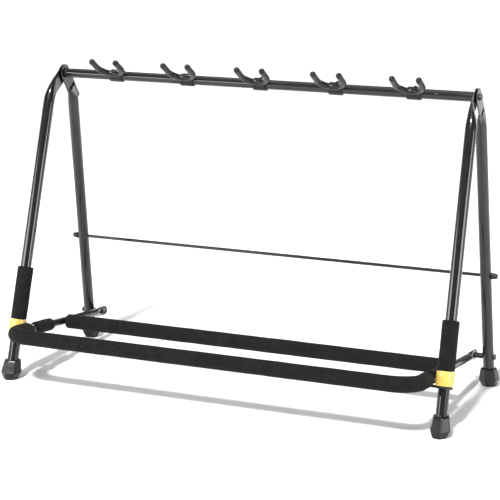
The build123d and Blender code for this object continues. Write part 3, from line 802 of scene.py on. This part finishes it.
source = yoke_mesh()
bmesh.ops.recalc_face_normals(source, faces=source.faces)
bmesh.ops.scale(source, vec=Vector((MM, MM, MM)), verts=source.verts)
yoke_data = bpy.data.meshes.new("neck_yoke_shape")
source.to_mesh(yoke_data)
source.free()
draft = bpy.data.objects.new("draft", yoke_data)
bpy.context.scene.collection.objects.link(draft)
remesh = draft.modifiers.new("melt", "REMESH")
remesh.mode = "VOXEL"
remesh.voxel_size = MELT_VOXEL * MM
soften = draft.modifiers.new("soften", "SMOOTH")
soften.factor = 0.5
soften.iterations = 6
graph = bpy.context.evaluated_depsgraph_get()
moulded = bpy.data.meshes.new_from_object(draft.evaluated_get(graph))
bpy.data.objects.remove(draft)
moulded.name = "neck_yoke_moulding"
moulded.materials.clear()
moulded.materials.append(YOKE_RUBBER)
moulded.shade_smooth()
for number in range(1, 6):
    low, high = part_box(f"yoke_{number}")
    yoke = bpy.data.objects.new(f"yoke_{number}_moulding", moulded)
    bpy.context.scene.collection.objects.link(yoke)
    yoke.location = ((low.x + high.x) / 2, 0, 0)
    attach(yoke, f"neck_yoke_{number}")
    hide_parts(f"yoke_{number}")

    x = middle(f"yoke_screw_{number}").x
    lift = radians(SCREW_LIFT)
    direction = Vector((0, cos(lift), sin(lift)))
    seat = Vector((x, TOP.y, TOP.z)) + direction * (CLIP_R + 0.05)
    bm = bmesh.new()
    recessed_head(bm, seat, direction, 3.4, 2.15, 1.2, 1.2, 1.0)
    lathe(bm, seat, -direction, [(-0.1, 1.55), (3.4, 1.55), (3.7, 1.2)], 20)
    piece(f"yoke_screw_{number}_head", bm, f"neck_yoke_{number}", [f"yoke_screw_{number}"],
          BLACKENED, 40)


# ------------------------------------------------------------------ studio
def pale_floor():
    """A wide seamless floor of pale paper."""
    bm = bmesh.new()
    bmesh.ops.create_grid(bm, x_segments=24, y_segments=24, size=40.0)
    mesh = bpy.data.meshes.new("studio_floor")
    bm.to_mesh(mesh)
    bm.free()
    floor = bpy.data.objects.new("studio_floor", mesh)
    bpy.context.scene.collection.objects.link(floor)
    m = Nodes("pale_paper", Specular_IOR_Level=0.15)
    m.colour(m.noise(3.0, 2.0), (0.90, 0.895, 0.89), (0.92, 0.915, 0.91))
    m.rough(m.noise(30.0, 3.0), 0.75, 0.9)
    m.bump(m.noise(900.0, 3.0), 0.05, 0.0002)
    mesh.materials.append(m.material)


def softbox(name, place, target, width, height, power):
    """A rectangular soft light that faces a target."""
    data = bpy.data.lights.new(name, "AREA")
    data.shape = "RECTANGLE"
    data.size, data.size_y = width, height
    data.energy = power
    lamp = bpy.data.objects.new(name, data)
    bpy.context.scene.collection.objects.link(lamp)
    lamp.location = place
    lamp.rotation_euler = (Vector(target) - Vector(place)).to_track_quat("-Z", "Y").to_euler()


pale_floor()
world = bpy.data.worlds.new("studio")
bpy.context.scene.world = world
world.use_nodes = True
sky = world.node_tree
background = sky.nodes["Background"]
place = sky.nodes.new("ShaderNodeTexCoord")
split = sky.nodes.new("ShaderNodeSeparateXYZ")
ramp = sky.nodes.new("ShaderNodeValToRGB")
sky.links.new(place.outputs["Generated"], split.inputs["Vector"])
sky.links.new(split.outputs["Z"], ramp.inputs["Fac"])
sky.links.new(ramp.outputs["Color"], background.inputs["Color"])
CEILING = 1.7                    # brightness overhead; the walls and the horizon are parts of it
stops = ((0.0, 0.60), (0.05, 0.58), (0.13, 0.10), (0.78, 0.10), (0.93, 0.36))
for position, level in stops:
    stop = ramp.color_ramp.elements.new(position)
    stop.color = (level, level, level, 1)
for stop in (ramp.color_ramp.elements[0], ramp.color_ramp.elements[-1]):
    level = stops[0][1] if stop.position < 0.5 else stops[-1][1]
    stop.color = (level, level, level, 1)
background.inputs["Strength"].default_value = CEILING


def around(turn, lift, distance):
    """A place round the rack: turn from the front to the right and lift in degrees, distance in metres."""
    t, u = radians(turn), radians(lift)
    return Vector((sin(t) * cos(u), -cos(t) * cos(u), sin(u))) * distance + Vector((0, 0, 0.25))


def lamp_power(brightness, width, height):
    """Power of a softbox that shows the given brightness."""
    return brightness * pi * width * height


def panel(name, turn, lift, distance, width, height, brightness):
    """A softbox that stands round the rack and faces it."""
    power = lamp_power(brightness, width, height)
    softbox(name, around(turn, lift, distance), (0, 0, 0.3), width, height, power)


def far_lamp(name, turn, lift, strength, spread):
    """A distant lamp that throws the soft shadows."""
    data = bpy.data.lights.new(name, "SUN")
    data.energy = strength
    data.angle = radians(spread)
    data.color = (1.0, 0.985, 0.965)
    lamp = bpy.data.objects.new(name, data)
    bpy.context.scene.collection.objects.link(lamp)
    lamp.rotation_euler = around(turn, lift, 1.0).to_track_quat("Z", "Y").to_euler()


panel("softbox_front_left", -42, 13, 2.6, 1.8, 0.55, 8.0)
panel("softbox_right", 77, 9, 2.7, 1.2, 0.7, 8.0)
panel("softbox_back_left", -140, 14, 2.7, 1.3, 0.6, 4.0)
panel("softbox_back_right", 138, 14, 2.7, 1.3, 0.6, 4.0)
softbox("softbox_top", (0.0, 0.45, 2.3), (0.0, 0.0, 0.0), 3.2, 0.22, lamp_power(4.0, 3.2, 0.22))
far_lamp("key", 0, 39, 4.3, 5.0)

scene = bpy.context.scene
scene.view_settings.view_transform = "Standard"
scene.view_settings.look = "None"
data = bpy.data.cameras.new("camera")
camera = bpy.data.objects.new("camera", data)
scene.collection.objects.link(camera)
data.sensor_width = 36.0
data.lens = 125.11
data.shift_x = 0.0049
data.shift_y = -0.0951
data.clip_end = 200.0
right = Vector((0.92180, 0.38761, 0.00632))
up = Vector((-0.08114, 0.17696, 0.98087))
back = Vector((0.37908, -0.90468, 0.19457))
facing = Matrix((right, up, back)).transposed().to_4x4()
camera.matrix_world = Matrix.Translation(Vector((1.2839, -3.0469, 1.0266))) @ facing
scene.camera = camera
